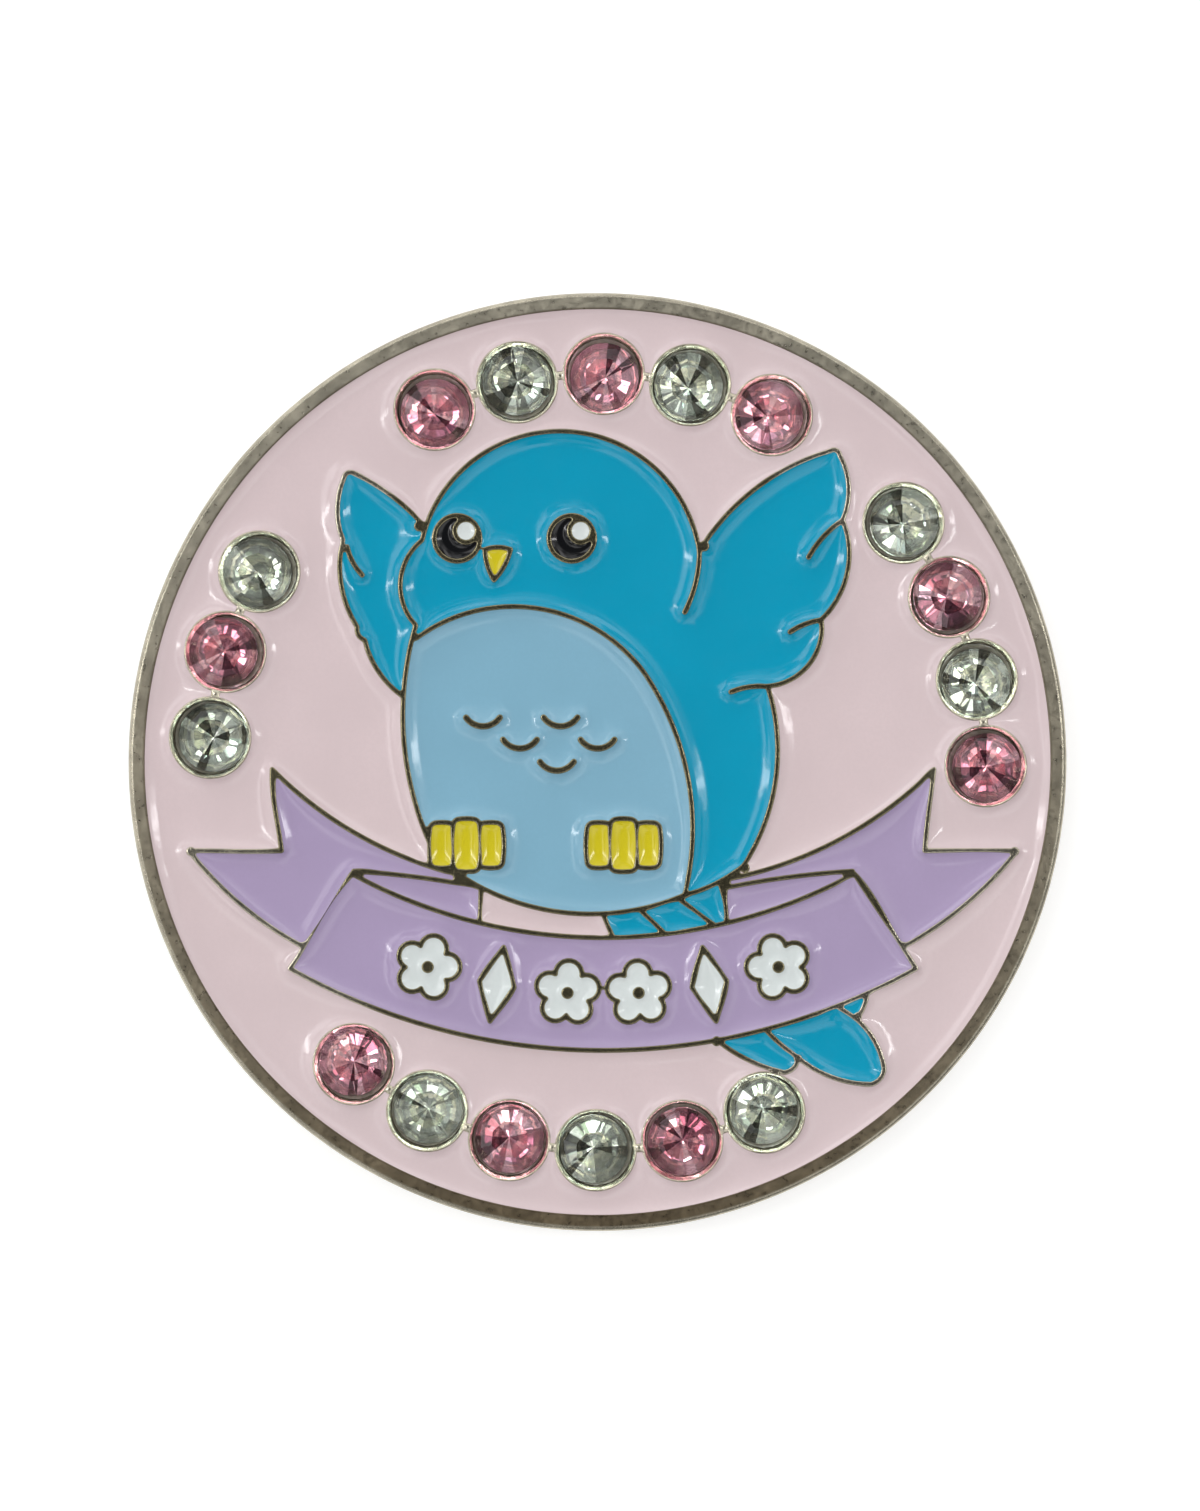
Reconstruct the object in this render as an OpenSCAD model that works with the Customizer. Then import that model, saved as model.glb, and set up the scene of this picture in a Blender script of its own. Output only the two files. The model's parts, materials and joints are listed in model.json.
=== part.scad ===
// Golf ball marker: a nickel-plated die-cast coin whose raised lines hold soft enamel,
// with round pointed-back stones set in cups along its edge and a steel disc in its back.
// The origin is the centre of the back, +Z points out of the face and +Y to the art's top.

/* [Coin] */
// Diameter of the coin
marker_d = 25.4; // [25:0.1:26]
// Thickness from the back to the top of the rim
marker_t = 2.2; // [2.1:0.05:2.6]
// Width of the raised rim
rim_w = 0.45; // [0.4:0.05:0.6]
// Rounding of the rim's outer edge, on the face side
face_edge_r = 0.14; // [0.06:0.01:0.15]
// Rounding of the outer edge on the back
back_edge_r = 0.25; // [0.1:0.05:0.3]

/* [Enamel] */
// Width of the raised lines between two colours
line_w = 0.14; // [0.12:0.01:0.16]
// Depth of the pockets below the top of the lines
pocket_depth = 0.4; // [0.3:0.05:0.5]
// How far the enamel stays below the top of the lines
enamel_drop = 0.12; // [0.04:0.01:0.16]
// Rounding of the corners of a pocket
pocket_r = 0.04; // [0.02:0.01:0.05]

/* [Stones] */
// Diameter of a stone at its girdle
stone_d = 1.86; // [1.8:0.01:1.88]
// Inner diameter of a stone's cup
cup_bore_d = 2.08; // [2.04:0.01:2.1]
// Outer diameter of a stone's cup
cup_d = 2.24; // [2.22:0.01:2.28]
// Radius of the circle that the stones stand on
stone_circle_r = 10.5; // [10.4:0.05:10.55]
// Angle from one stone to the next in a row
stone_pitch = 12.87; // [12.8:0.01:13]
// Height of the stone's crown above its girdle
crown_h = 0.32; // [0.28:0.01:0.34]
// Depth of the pointed back below the girdle
pavilion_h = 0.72; // [0.6:0.01:0.75]
// Thickness of the girdle
girdle_h = 0.06; // [0.04:0.01:0.08]
// How far the flat top of a stone stands above the rim
table_proud = 0.03; // [0:0.01:0.06]
// Share of the stone's diameter that its flat top takes
table_share = 0.56; // [0.5:0.01:0.6]

/* [Back] */
// Diameter of the steel disc that a magnetic clip holds
disc_d = 15.9; // [14:0.1:16]
// Thickness of the steel disc
disc_t = 0.45; // [0.4:0.05:0.5]
// Thickness of the adhesive that holds the steel disc
glue_t = 0.05; // [0.03:0.01:0.1]
// How far the steel disc lies behind the plane of the back
disc_inset = 0.05; // [0:0.01:0.1]

/* [Ribbon] */
// Radius of the upper edge of the ribbon's front
ribbon_r = 14.25; // [14.2:0.05:14.3]
// Height of the ribbon's front
ribbon_h = 3.05; // [3:0.05:3.1]
// Half of the angle that the ribbon's front spans
ribbon_half_angle = 28.9; // [28.5:0.1:29.2]
// Angle from one ornament on the ribbon to the next
ornament_pitch = 7; // [6.9:0.05:7.1]

/* [Hidden] */
$fn = 48;
// How far the straight steps of an arc in the art may leave the true arc
ARC_ERROR = 0.004;
// Sides of the small round corners in the art
CORNER_FN = 12;
// How far a cutting solid reaches past the face that it cuts
PAST = 0.1;
marker_r = marker_d / 2;
face_r = marker_r - rim_w;
pocket_z = marker_t - pocket_depth;
enamel_t = pocket_depth - enamel_drop;

// Heights of a stone's levels, and of the floor of its cup
table_z = marker_t + table_proud;
girdle_top_z = table_z - crown_h;
girdle_z = girdle_top_z - girdle_h;
culet_z = girdle_z - pavilion_h;
// Thickness of the foil, and radius of the blunt tip of a stone
foil_t = 0.03;
culet_r = 0.05;
cup_floor_z = culet_z - foil_t;
stone_r = stone_d / 2;
cup_bore_r = cup_bore_d / 2;
cup_r = cup_d / 2;
// Width of the bars of metal between neighbouring cups
bridge_w = 0.24;

// Gap round the steel disc
disc_gap = 0.05;
disc_recess_r = disc_d / 2 + disc_gap;
disc_recess_z = disc_inset + disc_t + glue_t;

// Each row of stones: the angle of its first stone, how many it has, and the first one's colour
STONE_ROWS = [
    [63.35, 5, "pink"],
    [150.65, 3, "clear"],
    [231.1, 6, "pink"],
    [-0.6, 4, "pink"]
];
function other(colour) = colour == "pink" ? "clear" : "pink";
STONE_SPOTS = [
    for (row = STONE_ROWS, i = [0 : row[1] - 1])
        [row[0] + i * stone_pitch, i % 2 == 0 ? row[2] : other(row[2]), i > 0]
];
STONES = [
    for (i = [0 : len(STONE_SPOTS) - 1]) str(STONE_SPOTS[i][1], "_stone_", i + 1)
];

// Colours of the enamel
PINK = [0.87, 0.78, 0.79];
TEAL = [0.08, 0.57, 0.7];
SKY = [0.5, 0.7, 0.8];
LILAC = [0.66, 0.58, 0.73];
YELLOW = [0.84, 0.78, 0.15];
WHITE = [0.87, 0.89, 0.88];
BLACK = [0.03, 0.03, 0.04];

// Each filled shape and its colour. A shape hides what comes later in this list, as paper
// cut-outs laid on each other do.
ORNAMENT_COUNT = 6;
TOES = ["middle", "inner", "outer"];
TAIL = ["middle", "left", "right"];
ENAMELS = concat(
    [for (i = [1 : ORNAMENT_COUNT]) [str("ribbon_ornament_", i), WHITE]],
    [["ribbon_front", LILAC]],
    [["left_eye_glint", WHITE], ["right_eye_glint", WHITE]],
    [["left_eye", BLACK], ["right_eye", BLACK], ["beak", YELLOW]],
    [for (foot = ["left", "right"], toe = TOES) [str(foot, "_foot_", toe, "_toe"), YELLOW]],
    [["belly", SKY], ["bird", TEAL], ["left_wing", TEAL]],
    [["ribbon_fold_left", LILAC], ["ribbon_fold_right", LILAC]],
    [["ribbon_end_left", LILAC], ["ribbon_end_right", LILAC]],
    [for (side = TAIL) [str("tail_feather_", side), TEAL]],
    [["background", PINK]]
);
SHAPES = [for (entry = ENAMELS) entry[0]];
METALWORK = ["coin", "steel_disc", "disc_adhesive", "stone_foils", "stone_cement"];

// ---- Outlines made of arcs ----

// The turn between two points of an arc of radius r
function arc_step(r) = 2 * acos(1 - min(1, ARC_ERROR / r));

// The points from a to b along an arc that bows out by h to the right of its way, without b
function bow(a, b, h) =
    let (
        chord = b - a,
        span = norm(chord),
        across = [-chord.y, chord.x] / span,
        turn = 4 * atan(2 * h / span)
    )
    abs(h) < ARC_ERROR
    ? [a]
    : let (
        r = (span * span / 4 + h * h) / (2 * h),
        centre = (a + b) / 2 + across * (r - h),
        spoke = a - centre,
        n = ceil(abs(turn) / arc_step(abs(r)))
    )
    [for (i = [0 : n - 1])
        let (t = turn * i / n)
        centre + [spoke.x * cos(t) - spoke.y * sin(t), spoke.x * sin(t) + spoke.y * cos(t)]
    ];

// A closed outline from corners [x, y, bow of the edge that starts there]
function outline(corners) = [
    for (i = [0 : len(corners) - 1])
        let (a = corners[i], b = corners[(i + 1) % len(corners)])
        each bow([a.x, a.y], [b.x, b.y], a.z)
];

// A point at a distance and an angle from a centre
function polar(r, angle) = r * [cos(angle), sin(angle)];

// A round spot or hole in the art
module dot(r) {
    circle(r, $fn = ceil(360 / arc_step(r)));
}

// A raised line from a to b that ends inside a colour, and takes pocket_r more on each side
// because the pocket round it is drawn that much too small
module line(a, b, h = 0, w = line_w) {
    thin = 0.01;
    path = concat(bow(a, b, h), [b]);
    shift = [a.y - b.y, b.x - a.x] * thin / norm(b - a);
    n = len(path);
    offset(r = w / 2 + pocket_r, $fn = CORNER_FN)
        polygon(concat(path, [for (i = [1 : n]) path[n - i] + shift]));
}

// ---- The ribbon ----

ribbon_centre = [0.15, 9.5];
ribbon_mid_r = ribbon_r + ribbon_h / 2;

module ribbon_front_shape() {
    r_low = ribbon_r + ribbon_h;
    flare = 0.8;
    upper = ribbon_half_angle - flare / 2;
    lower = ribbon_half_angle + flare / 2;
    rise = ribbon_r * (1 - cos(upper));
    fall = r_low * (1 - cos(lower));
    a = ribbon_centre + polar(r_low, -90 - lower);
    b = ribbon_centre + polar(r_low, -90 + lower);
    c = ribbon_centre + polar(ribbon_r, -90 + upper);
    d = ribbon_centre + polar(ribbon_r, -90 - upper);
    polygon(outline([
        [a.x, a.y, fall],
        [b.x, b.y, 0],
        [c.x, c.y, -rise],
        [d.x, d.y, 0]
    ]));
}

// One half of the ribbon behind the front, drawn on the right with x counted from its middle
module ribbon_side(left) {
    translate([ribbon_centre.x, 0])
        mirror([left ? 1 : 0, 0])
            children();
}

module ribbon_fold_shape() {
    polygon(outline([
        [6.75, -2.95, 0.06],
        [3.3, -3.4, 0],
        [3.35, -4.6, 0],
        [6.6, -3.5, 0]
    ]));
}

module ribbon_end_shape() {
    polygon(outline([
        [3.2, -3.2, 0],
        [4.2, -4, 0],
        [8.2, -4.95, 0.2],
        [11.2, -2.4, 0],
        [8.7, -2.4, 0],
        [8.95, -0.2, -0.5]
    ]));
}

// ---- Ornaments on the ribbon, in place of lettering ----

module flower_shape() {
    petals = 5;
    petal_r = 0.36;
    petal_at = 0.52;
    dot_r = 0.17;
    difference() {
        union() {
            dot(petal_at);
            for (i = [0 : petals - 1])
                translate(polar(petal_at, 90 + i * 360 / petals))
                    dot(petal_r);
        }
        dot(dot_r - line_w / 2);
    }
}

module diamond_shape() {
    half_w = 0.48;
    half_h = 1.02;
    polygon([[half_w, 0], [0, half_h], [-half_w, 0], [0, -half_h]]);
}

module ornament_shape(i) {
    turn = (i - (ORNAMENT_COUNT + 1) / 2) * ornament_pitch;
    translate(ribbon_centre)
        rotate(turn)
            translate([0, -ribbon_mid_r])
                if (i % 3 == 2) diamond_shape(); else flower_shape();
}

// ---- The bird ----

// The head, body and right wing, drawn anticlockwise from where the wing meets the head
module bird_shape() {
    polygon(outline([
        [2.75, 5.7, 3.1],
        [-4.75, 6, 0.5],
        [-4.92, 3.7, 0.6],
        [-4.35, -2.6, 0.95],
        [2.35, -3.6, 0.1],
        [3.95, -2.8, 0.55],
        [4.6, 2.05, 0.5],
        [6.05, 3.85, 0.42],
        [6.63, 6.55, 0.2],
        [6.55, 8.3, 0.08],
        [6.3, 8.42, 0.42]
    ]));
}

module belly_shape() {
    intersection() {
        bird_shape();
        polygon(outline([
            [-6, -5, 0],
            [2.35, -5, 0],
            [2.35, -3.6, 0.68],
            [1.2, 2.5, 1.25],
            [-4.9, 3.35, 0],
            [-6, 3, 0]
        ]));
    }
}

module left_wing_shape() {
    polygon(outline([
        [-4, 5.9, 0],
        [-4.75, 6.45, 0.12],
        [-6.65, 7.84, 0.06],
        [-6.86, 7.68, 0.16],
        [-6.89, 6, 0.24],
        [-6.5, 3.65, 0.08],
        [-6.3, 3.3, 0.16],
        [-5.3, 1.8, 0],
        [-4, 1.5, 0]
    ]));
}

EYES = [["left_eye", [-3.8, 6.05]], ["right_eye", [-0.7, 6.05]]];
eye_r = 0.62;
glint_r = 0.31;
glint_at = [0.24, 0.2];

module beak_shape() {
    polygon(outline([
        [-2.35, 5.75, 0.06],
        [-3.05, 5.75, 0.06],
        [-2.8, 4.92, 0.06]
    ]));
}

// A foot is a row of three round-ended toes
FEET = [["left", [-3.55, -2.25]], ["right", [0.7, -2.25]]];
toe_r = 0.18;
toe_pitch = 0.66;

module bar(w, h) {
    offset(r = toe_r, $fn = 2 * CORNER_FN)
        square([w - 2 * toe_r, h - 2 * toe_r], center = true);
}

module toe_shape(toe) {
    if (toe == "middle") bar(0.72, 1.42);
    if (toe == "inner") translate([toe_pitch, 0]) bar(0.66, 1.22);
    if (toe == "outer") translate([-toe_pitch, 0]) bar(0.66, 1.22);
}

// Three tail feathers fan out from under the body to the lower right. The ribbon hides their
// middle stretch.
module tail_feather_shape(side) {
    if (side == "middle")
        polygon(outline([
            [1.15, -4, 0],
            [4.5, -7.2, 0.03],
            [5.42, -8, 0.18],
            [7.4, -8.72, 0.09],
            [7.75, -8.3, 0.14],
            [7, -6.95, 0],
            [3, -4.3, 0],
            [2.2, -3.7, 0]
        ]));
    if (side == "left")
        polygon(outline([
            [0.1, -4, 0],
            [0.4, -4.7, 0.2],
            [3.2, -7.5, 0.12],
            [5.05, -8.4, 0.1],
            [5.42, -8, 0],
            [4.5, -7.2, 0],
            [1.15, -4, 0]
        ]));
    if (side == "right")
        polygon(outline([
            [2.2, -3.7, 0],
            [3, -4.3, 0],
            [7, -6.95, 0.08],
            [7.3, -6.1, 0],
            [3.55, -4.2, 0],
            [3.3, -3.2, 0]
        ]));
}

// Solid metal where two lines meet at a narrow angle: its centre and radius
METAL_SPOTS = [
    [[-4.82, 6.38], 0.15],
    [[2.88, 5.84], 0.15],
    [[3.22, -7.55], 0.14],
    [[5.42, -8.02], 0.12],
    [[7.04, -6.88], 0.12],
    [[-3.75, -3.12], 0.16],
    [[3.98, -2.86], 0.14],
    [[-11, -2.42], 0.13],
    [[11.28, -2.42], 0.13]
];
module metal_spots(grow) {
    for (spot = METAL_SPOTS)
        translate(spot[0]) dot(spot[1] + grow);
}

// Raised lines inside the art: short feather lines, and ticks for the down on the belly
module inner_lines(name) {
    if (name == "bird") {
        line([2.75, 5.7], [2.35, 4.05], -0.1);
        line([6.63, 6.55], [5.7, 5.54], 0.08);
        line([6.05, 3.85], [5.2, 3.52], 0.05);
        line([4.6, 2.05], [3.6, 1.9], 0.06);
    }
    if (name == "left_wing")
        line([-6.78, 5.82], [-6.37, 5.05], 0.06);
    if (name == "belly")
        for (row = [0 : 2], i = [0 : row == 2 ? 0 : 1])
            down_tick([-3.1 + row + 2.1 * i, 1.2 - 0.6 * row]);
}

module down_tick(at) {
    half = 0.46;
    line(at - [half, 0], at + [half, 0], 0.24, 0.17);
}

// ---- The flat shape of each colour, before the shapes over it are taken away ----

module shape(name) {
    for (i = [1 : ORNAMENT_COUNT])
        if (name == str("ribbon_ornament_", i)) ornament_shape(i);
    if (name == "ribbon_front") ribbon_front_shape();
    for (eye = EYES) {
        if (name == eye[0]) translate(eye[1]) dot(eye_r);
        if (name == str(eye[0], "_glint")) translate(eye[1] + glint_at) dot(glint_r);
    }
    if (name == "beak") beak_shape();
    for (foot = FEET, toe = TOES)
        if (name == str(foot[0], "_foot_", toe, "_toe"))
            translate(foot[1]) toe_shape(toe);
    if (name == "belly") belly_shape();
    if (name == "bird") bird_shape();
    if (name == "left_wing") left_wing_shape();
    if (name == "ribbon_fold_left") ribbon_side(true) ribbon_fold_shape();
    if (name == "ribbon_fold_right") ribbon_side(false) ribbon_fold_shape();
    if (name == "ribbon_end_left") ribbon_side(true) ribbon_end_shape();
    if (name == "ribbon_end_right") ribbon_side(false) ribbon_end_shape();
    for (side = TAIL)
        if (name == str("tail_feather_", side)) tail_feather_shape(side);
}

function place(name) = search([name], SHAPES)[0];

// The pocket of one colour. Inside the art it is what is left of a shape once all that lies
// over it is taken away, shrunk to leave the lines.
module pocket_shape(name) {
    if (name == "background")
        background_pocket();
    else
        offset(r = pocket_r, $fn = CORNER_FN)
            difference() {
                offset(r = -line_w / 2 - pocket_r, $fn = CORNER_FN)
                    difference() {
                        shape(name);
                        if (place(name) > 0)
                            for (i = [0 : place(name) - 1]) shape(SHAPES[i]);
                    }
                inner_lines(name);
                metal_spots(pocket_r);
            }
}

// The background runs from the rim to the art's outer lines and round the cups
module background_pocket() {
    difference() {
        circle(face_r);
        offset(r = -pocket_r, $fn = CORNER_FN)
            offset(r = line_w / 2 + pocket_r, $fn = CORNER_FN)
                for (name = SHAPES)
                    if (name != "background") shape(name);
        metal_spots(0);
        for (i = [0 : len(STONE_SPOTS) - 1]) {
            at_stone(i) circle(cup_r);
            if (STONE_SPOTS[i][2]) bridge(i);
        }
    }
}

// ---- The cups that hold the stones ----

module at_stone(i) {
    rotate(STONE_SPOTS[i][0])
        translate([stone_circle_r, 0])
            children();
}

// A short bar of metal joins a cup to the one before it
module bridge(i) {
    rotate(STONE_SPOTS[i][0] - stone_pitch / 2)
        translate([stone_circle_r, 0])
            square([bridge_w, stone_circle_r * sin(stone_pitch / 2)], center = true);
}

module cup_bores() {
    for (i = [0 : len(STONE_SPOTS) - 1])
        at_stone(i)
            translate([0, 0, cup_floor_z])
                cylinder(r = cup_bore_r, h = marker_t);
}

// ---- Metal parts ----

// The coin's cross-section from its axis to its edge
module coin_section() {
    corner = [marker_r - back_edge_r, back_edge_r];
    front = [marker_r - face_edge_r, marker_t - face_edge_r];
    steps = 6;
    polygon(concat(
        [[0, 0], [corner.x, 0]],
        [for (i = [1 : steps]) corner + polar(back_edge_r, -90 + 90 * i / steps)],
        [for (i = [0 : steps - 1]) front + polar(face_edge_r, 90 * i / steps)],
        [[front.x, marker_t], [0, marker_t]]
    ));
}

module coin() {
    color([0.72, 0.7, 0.66])
        difference() {
            rotate_extrude() coin_section();
            for (name = SHAPES)
                translate([0, 0, pocket_z])
                    linear_extrude(pocket_depth + PAST) pocket_shape(name);
            cup_bores();
            translate([0, 0, -PAST])
                cylinder(r = disc_recess_r, h = disc_recess_z + PAST);
        }
}

module steel_disc() {
    color([0.6, 0.6, 0.62])
        translate([0, 0, disc_inset])
            cylinder(d = disc_d, h = disc_t);
}

module disc_adhesive() {
    color([0.85, 0.8, 0.6])
        translate([0, 0, disc_inset + disc_t])
            cylinder(d = disc_d, h = glue_t);
}

// ---- Enamel ----

module enamel(name, rgb) {
    color(rgb)
        translate([0, 0, pocket_z])
            linear_extrude(enamel_t) pocket_shape(name);
}

// ---- Stones ----

module stone(i) {
    table_r = stone_r * table_share;
    color(STONE_SPOTS[i][1] == "pink" ? [0.85, 0.35, 0.5] : [0.85, 0.9, 0.88])
        at_stone(i)
            rotate_extrude()
                polygon([
                    [0, culet_z],
                    [culet_r, culet_z],
                    [stone_r, girdle_z],
                    [stone_r, girdle_top_z],
                    [table_r, table_z],
                    [0, table_z]
                ]);
}

module stone_foils() {
    color([0.75, 0.75, 0.72])
        for (i = [0 : len(STONE_SPOTS) - 1])
            at_stone(i)
                rotate_extrude()
                    polygon([
                        [0, culet_z - foil_t],
                        [culet_r, culet_z - foil_t],
                        [stone_r, girdle_z - foil_t],
                        [stone_r, girdle_z],
                        [culet_r, culet_z],
                        [0, culet_z]
                    ]);
}

module stone_cement() {
    color([0.8, 0.78, 0.7])
        for (i = [0 : len(STONE_SPOTS) - 1])
            at_stone(i)
                rotate_extrude()
                    polygon([
                        [culet_r, cup_floor_z],
                        [cup_bore_r, cup_floor_z],
                        [cup_bore_r, girdle_z - foil_t],
                        [stone_r, girdle_z - foil_t]
                    ]);
}

coin();
steel_disc();
disc_adhesive();
stone_foils();
stone_cement();
for (entry = ENAMELS)
    enamel(entry[0], entry[1]);
for (i = [0 : len(STONES) - 1])
    stone(i);
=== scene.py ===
"""Looks of the ball marker: a nickel-plated coin with soft enamel and foil-backed stones.

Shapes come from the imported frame. The outline of every colour is read from its CAD node, made
smooth, and filled with a fine mesh whose height follows what poured enamel and cast metal do.
Lengths are in millimetres until a mesh is made, where MM turns them into metres. Only the lights
are placed in metres.
"""

import json
import math
import random

import bmesh
import bpy
import numpy as np
from mathutils import Euler, Matrix, Vector, noise
from mathutils.geometry import delaunay_2d_cdt
from mathutils.kdtree import KDTree


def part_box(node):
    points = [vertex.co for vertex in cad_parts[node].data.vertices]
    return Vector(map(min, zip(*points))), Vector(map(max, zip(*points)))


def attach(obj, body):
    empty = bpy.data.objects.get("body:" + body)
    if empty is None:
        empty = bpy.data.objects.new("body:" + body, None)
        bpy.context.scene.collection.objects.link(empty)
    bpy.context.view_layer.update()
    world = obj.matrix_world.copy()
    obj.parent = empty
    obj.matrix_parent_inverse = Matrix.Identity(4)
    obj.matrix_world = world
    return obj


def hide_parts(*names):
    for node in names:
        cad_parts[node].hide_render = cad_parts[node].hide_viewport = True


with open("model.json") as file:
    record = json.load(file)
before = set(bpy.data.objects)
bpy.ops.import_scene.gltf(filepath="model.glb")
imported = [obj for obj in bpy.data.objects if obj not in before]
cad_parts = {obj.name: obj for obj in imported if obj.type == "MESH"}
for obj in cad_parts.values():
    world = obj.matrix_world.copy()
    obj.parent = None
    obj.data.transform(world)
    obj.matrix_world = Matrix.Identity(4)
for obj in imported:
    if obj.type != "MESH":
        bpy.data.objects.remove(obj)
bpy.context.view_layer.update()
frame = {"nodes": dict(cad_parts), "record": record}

MM = 0.001
NODES = frame["nodes"]
SEED = 7

# ---- Camera ----

# Height of the picture's frame at the coin's face, and the middle of the frame
FRAME_HEIGHT_MM = 40.86
FRAME_X_MM, FRAME_Y_MM = 0.066, 0.176
LENS, SENSOR = 100.0, 36.0


def make_camera():
    """Looks straight down on the coin, a little off its centre."""
    data = bpy.data.cameras.new("camera")
    data.lens = LENS
    data.sensor_width = SENSOR
    data.clip_start = 0.001
    data.clip_end = 5.0
    camera = bpy.data.objects.new("camera", data)
    bpy.context.scene.collection.objects.link(camera)
    distance = FRAME_HEIGHT_MM * LENS / SENSOR
    camera.location = (FRAME_X_MM * MM, FRAME_Y_MM * MM, (distance + FACE_Z) * MM)
    bpy.context.scene.camera = camera


# ---- Sizes, read from the frame ----


def box_mm(name):
    """Lowest and highest corners of a node, in millimetres."""
    low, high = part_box(name)
    return [value / MM for value in low], [value / MM for value in high]


METALWORK = ["coin", "steel_disc", "disc_adhesive", "stone_foils", "stone_cement"]
STONES = [name for name in NODES if "_stone_" in name]
FILLS = [name for name in NODES if name not in METALWORK and name not in STONES]

COIN_LOW, COIN_HIGH = box_mm("coin")
FACE_Z = COIN_HIGH[2]
COIN_R = (COIN_HIGH[0] - COIN_LOW[0]) / 2
POCKET_Z = box_mm("background")[0][2]
STEEL_LOW, STEEL_HIGH = box_mm("steel_disc")
STEEL_R = (STEEL_HIGH[0] - STEEL_LOW[0]) / 2
GLUE_TOP_Z = box_mm("disc_adhesive")[1][2]
STONE_LOW, STONE_HIGH = box_mm(STONES[0])
STONE_R = (STONE_HIGH[0] - STONE_LOW[0]) / 2

# Sizes that the boxes don't give, with the values that the CAD has
RECESS_R = STEEL_R + 0.05
FACE_EDGE_R = 0.14
BACK_EDGE_R = 0.25
CUP_BORE_R = 1.04
CROWN_H, GIRDLE_H, TABLE_SHARE = 0.32, 0.06, 0.56
FOIL_T = 0.03
CUP_FLOOR_Z = STONE_LOW[2] - FOIL_T
CEMENT_TOP_Z = STONE_HIGH[2] - CROWN_H - GIRDLE_H - FOIL_T

# Radius of the round shoulders of cast metal, and of a cup at its mouth
LINE_ROUND = 0.028
CUP_MOUTH_R = 1.06

# ---- Outlines ----

# Length of the steps of a smooth outline, the turn from which a corner stays sharp, and the gap
# below which two points count as one
STEP = 0.05
CORNER_TURN = math.radians(14)
TWIN_GAP = 0.03


def top_loops(name):
    """The outlines of a node's top face, as closed lists of points."""
    mesh = NODES[name].data
    coords = np.array([v.co[:] for v in mesh.vertices]) / MM
    top = coords[:, 2].max()
    keys = [tuple(np.round(c[:2], 5)) for c in coords]
    onward = {}
    seen = set()
    for face in mesh.polygons:
        corners = list(face.vertices)
        if min(coords[i, 2] for i in corners) < top - 1e-4:
            continue
        for a, b in zip(corners, corners[1:] + corners[:1]):
            seen.add((keys[a], keys[b]))
    for a, b in seen:
        if (b, a) not in seen:
            onward[a] = b
    loops = []
    while onward:
        start, point = onward.popitem()
        loop = [start]
        while point != start:
            loop.append(point)
            point = onward.pop(point)
        loops.append(np.array(loop))
    return loops


def turns(points):
    """The angle by which the outline turns at each point."""
    before = points - np.roll(points, 1, axis=0)
    after = np.roll(points, -1, axis=0) - points
    cross = before[:, 0] * after[:, 1] - before[:, 1] * after[:, 0]
    dot = (before * after).sum(axis=1)
    return np.arctan2(cross, dot)


def merge_twins(points):
    """Joins neighbours that lie very close on a smooth stretch into one point."""
    turn = np.abs(turns(points))
    kept = []
    skip = False
    count = len(points)
    for i in range(count):
        j = (i + 1) % count
        if skip:
            skip = False
            continue
        gap = np.linalg.norm(points[j] - points[i])
        if j and gap < TWIN_GAP and max(turn[i], turn[j]) < CORNER_TURN:
            kept.append((points[i] + points[j]) / 2)
            skip = True
        else:
            kept.append(points[i])
    return np.array(kept)


def smooth_loop(points):
    """Runs a smooth curve through an outline, with sharp turns kept, in steps of about STEP."""
    points = merge_twins(points)
    chord = np.roll(points, -1, axis=0) - points
    length = np.linalg.norm(chord, axis=1)
    unit = chord / length[:, None]
    before_len = np.roll(length, 1)
    before_unit = np.roll(unit, 1, axis=0)
    tangent = before_unit * length[:, None] + unit * before_len[:, None]
    tangent /= (length + before_len)[:, None]
    corner = np.abs(turns(points)) > CORNER_TURN
    out = []
    count = len(points)
    for i in range(count):
        j = (i + 1) % count
        n = max(1, round(length[i] / STEP))
        leave = unit[i] if corner[i] else tangent[i]
        arrive = unit[i] if corner[j] else tangent[j]
        for k in range(n):
            t = k / n
            h00 = 2 * t**3 - 3 * t**2 + 1
            h10 = t**3 - 2 * t**2 + t
            h01 = -2 * t**3 + 3 * t**2
            h11 = t**3 - t**2
            out.append(h00 * points[i] + h01 * points[j] + length[i] * (h10 * leave + h11 * arrive))
    return np.array(out)


def spokes_of(count):
    """Unit vectors in this many even directions."""
    angle = np.arange(count) * math.tau / count
    return np.stack([np.cos(angle), np.sin(angle)], axis=1)


def circle_loop(radius, centre):
    """A circle as a closed list of points."""
    return np.array(centre) + radius * spokes_of(round(math.tau * radius / STEP))


def signed_area(points):
    """The area inside a closed outline, positive where it runs anticlockwise."""
    after = np.roll(points, -1, axis=0)
    return (points[:, 0] * after[:, 1] - points[:, 1] * after[:, 0]).sum() / 2


# ---- Filling an outline with a fine mesh ----


def inward_normals(loops):
    """Normals that point into the area between the loops, for each loop."""
    order = sorted(range(len(loops)), key=lambda i: -abs(signed_area(loops[i])))
    normals = [None] * len(loops)
    for i in order:
        points = loops[i]
        along = np.roll(points, -1, axis=0) - np.roll(points, 1, axis=0)
        along /= np.linalg.norm(along, axis=1)[:, None]
        left = np.stack([-along[:, 1], along[:, 0]], axis=1)
        depth = sum(inside_loop(points[0], loops[k]) for k in range(len(loops)) if k != i)
        anticlockwise = signed_area(points) > 0
        normals[i] = left if anticlockwise == (depth % 2 == 0) else -left
    return normals


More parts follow.
